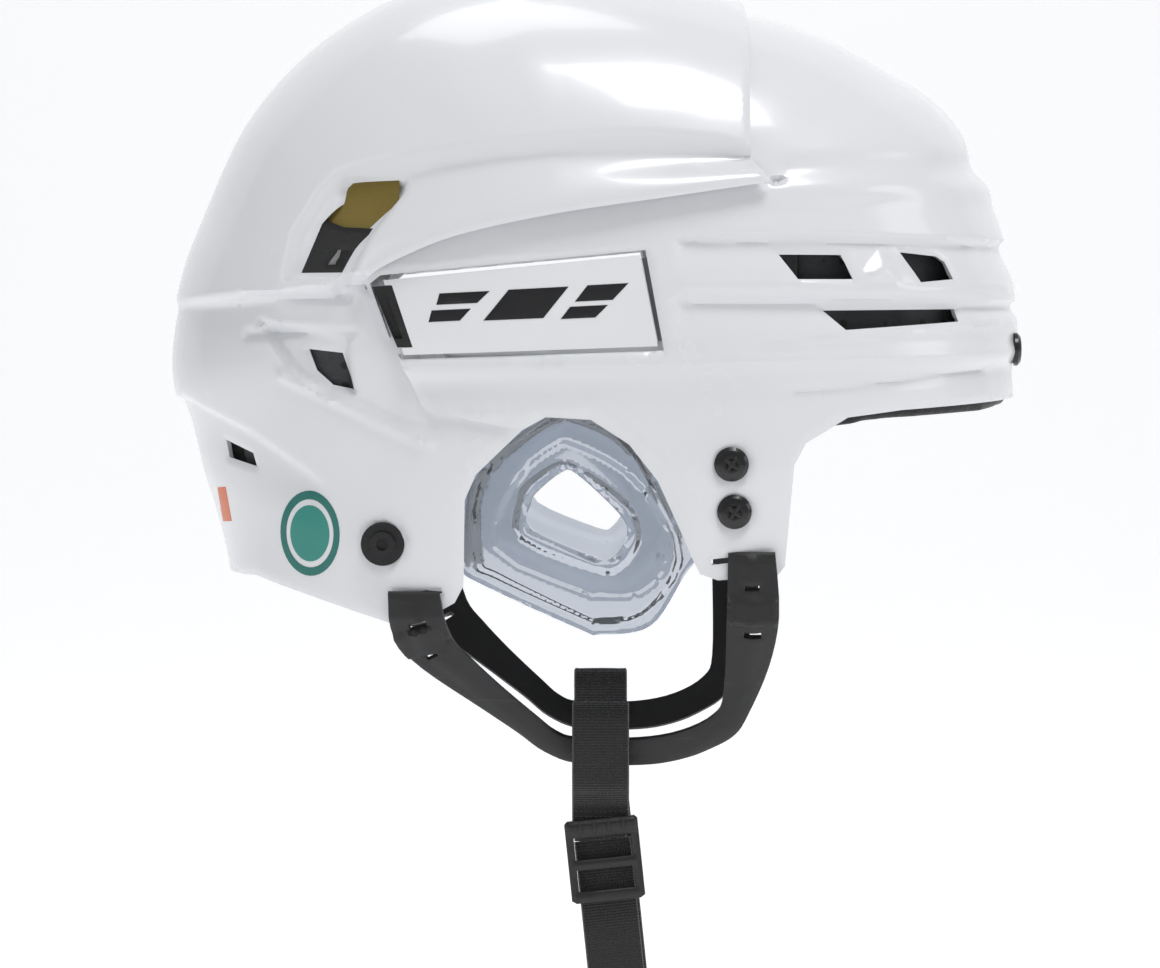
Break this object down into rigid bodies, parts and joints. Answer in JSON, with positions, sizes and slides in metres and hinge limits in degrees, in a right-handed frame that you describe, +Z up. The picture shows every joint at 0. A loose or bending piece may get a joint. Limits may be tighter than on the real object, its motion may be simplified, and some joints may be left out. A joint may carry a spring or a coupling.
{
  "type": "ice hockey helmet",
  "caption": "White two-piece hockey helmet that slides to fit, with side lock levers, clear ear guards, foam liner, moulded side straps and a chin strap.",
  "frame": {"origin": "centre of the head opening, on the middle plane, at the height of the brow rim", "axes": "+X towards the wearer's front, +Z up, -Y towards the wearer's right"},
  "size_m": [0.2848, 0.2144, 0.3742],
  "materials": {
    "white_shell": "glossy moulded",
    "white_lever": "satin moulded",
    "black_grip": "matte",
    "steel": "brushed",
    "grey_plastic": "matte",
    "black_hardware": "glossy black",
    "clear_guard": "clear smoky polycarbonate",
    "gold_insert": "satin",
    "black_foam": "matte foam",
    "dark_foam": "matte foam",
    "moulded_strap": "satin moulded",
    "webbing": "woven",
    "black_buckle": "satin"
  },
  "bodies": {
    "rear": {"rear_shell": "white_shell", "right_lock_rack": "grey_plastic", "left_lock_rack": "grey_plastic", "right_snap_stud": "black_hardware", "left_snap_stud": "black_hardware", "right_snap_washer": "steel", "left_snap_washer": "steel", "rear_crown_pad": "dark_foam", "right_rear_pad": "dark_foam", "left_rear_pad": "dark_foam", "nape_pad": "dark_foam", "right_vent_insert": "gold_insert", "left_vent_insert": "gold_insert", "right_side_strap": "moulded_strap", "left_side_strap": "moulded_strap"},
    "front": {"front_shell": "white_shell", "right_lock_bracket": "grey_plastic", "left_lock_bracket": "grey_plastic", "right_lock_pin": "steel", "left_lock_pin": "steel", "right_side_screws": "black_hardware", "left_side_screws": "black_hardware", "right_side_nuts": "steel", "left_side_nuts": "steel", "front_screws": "black_hardware", "front_nuts": "steel", "right_ear_guard": "clear_guard", "left_ear_guard": "clear_guard", "brow_pad": "black_foam", "front_liner": "dark_foam", "right_temple_pad": "dark_foam", "left_temple_pad": "dark_foam", "front_crown_pad": "dark_foam"},
    "right_lock": {"right_lock_lever": "white_lever", "right_lock_grip": "black_grip"},
    "left_lock": {"left_lock_lever": "white_lever", "left_lock_grip": "black_grip"},
    "chin_strap": {"right_chin_loop": "webbing", "left_chin_loop": "webbing", "chin_webbing": "webbing", "chin_snap_cap": "black_hardware", "chin_snap_post": "steel"},
    "buckle": {"chin_buckle": "black_buckle"}
  },
  "joints": [
    {"name": "size_slide", "type": "slide", "parent": "rear", "child": "front", "axis": [1, 0, 0], "range_m": [-0.004, 0.007], "deforming": ["right_side_strap", "left_side_strap"]},
    {"name": "right_lock_flip", "type": "hinge", "parent": "front", "child": "right_lock", "pos_m": [0.017, -0.09699, 0.0342], "axis": [-0.1908, 0, 0.9816], "range_deg": [0, 70]},
    {"name": "left_lock_flip", "type": "hinge", "parent": "front", "child": "left_lock", "pos_m": [0.017, 0.09699, 0.0342], "axis": [0.1908, 0, -0.9816], "range_deg": [0, 70]},
    {"name": "chin_strap_swing", "type": "hinge", "parent": "rear", "child": "chin_strap", "pos_m": [0.00535, 0, -0.113], "axis": [0, 1, 0], "range_deg": [-25, 25]},
    {"name": "buckle_slide", "type": "slide", "parent": "chin_strap", "child": "buckle", "axis": [-0.1045, 0, 0.9945], "range_m": [-0.012, 0.001]}
  ]
}
